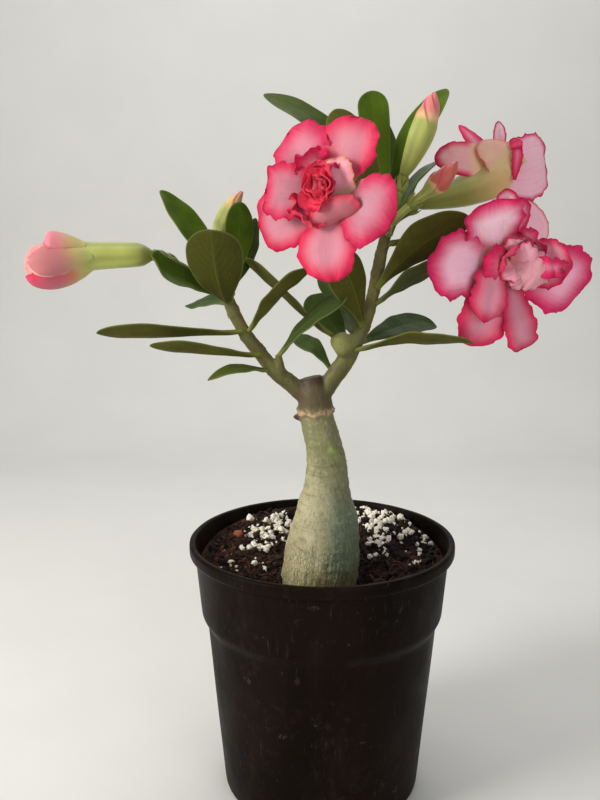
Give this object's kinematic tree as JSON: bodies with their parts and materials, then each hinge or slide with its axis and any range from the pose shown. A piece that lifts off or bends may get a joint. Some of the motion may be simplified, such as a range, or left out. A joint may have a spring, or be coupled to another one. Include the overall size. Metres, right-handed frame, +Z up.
{
  "type": "potted desert rose",
  "caption": "Desert rose plant with a swollen grey-green caudex, a forked crown of spoon-shaped leaves, buds and double pink flowers, growing in a black plastic nursery pot.",
  "frame": {"origin": "centre of the pot's flat underside, on the surface the pot stands on", "axes": "+Z up through the pot and the caudex, -Y towards the side the open flowers face, +X towards the branch that carries them"},
  "size_m": [0.2568, 0.13, 0.3431],
  "materials": {
    "pot": "thin black moulded plastic, satin, dusty and lightly scuffed",
    "soil": "loose dark coir and bark mix with perlite, matt",
    "bark": "smooth grey-green bark, finely wrinkled, satin",
    "leaf": "leathery leaf, semi-gloss above, olive and duller below",
    "stalk": "green flower stalk and calyx, satin",
    "tube": "yellow-green flower tube, satin",
    "petal": "soft petal, pale at the base and crimson at the margin"
  },
  "bodies": {
    "root": {"bud_behind": "petal", "bud_left": "petal", "bud_left_stalk": "stalk", "bud_small": "petal", "bud_tall": "petal", "bud_tall_stalk": "stalk", "caudex": "bark", "flower_back_petal_1": "petal", "flower_back_petal_2": "petal", "flower_back_petal_3": "petal", "flower_back_petal_4": "petal", "flower_back_petal_5": "petal", "flower_back_stalk": "stalk", "flower_back_tube": "tube", "flower_front_inner_petals": "petal", "flower_front_petal_1": "petal", "flower_front_petal_2": "petal", "flower_front_petal_3": "petal", "flower_front_petal_4": "petal", "flower_front_petal_5": "petal", "flower_front_stalk": "stalk", "flower_front_tube": "tube", "flower_right_inner_petals": "petal", "flower_right_petal_1": "petal", "flower_right_petal_2": "petal", "flower_right_petal_3": "petal", "flower_right_petal_4": "petal", "flower_right_petal_5": "petal", "flower_right_stalk": "stalk", "flower_right_tube": "tube", "leaf_left_01": "leaf", "leaf_left_02": "leaf", "leaf_left_03": "leaf", "leaf_left_04": "leaf", "leaf_left_05": "leaf", "leaf_left_06": "leaf", "leaf_left_07": "leaf", "leaf_left_08": "leaf", "leaf_left_09": "leaf", "leaf_left_10": "leaf", "leaf_left_11": "leaf", "leaf_right_01": "leaf", "leaf_right_02": "leaf", "leaf_right_03": "leaf", "leaf_right_04": "leaf", "leaf_right_05": "leaf", "leaf_right_06": "leaf", "leaf_right_07": "leaf", "leaf_right_08": "leaf", "leaf_right_09": "leaf", "leaf_right_10": "leaf", "leaf_right_11": "leaf", "leaf_right_12": "leaf", "leaf_right_13": "leaf", "leaf_right_14": "leaf", "leaf_right_15": "leaf", "leaf_right_16": "leaf", "leaf_right_17": "leaf", "pot": "pot", "soil": "soil"}
  },
  "joints": []
}
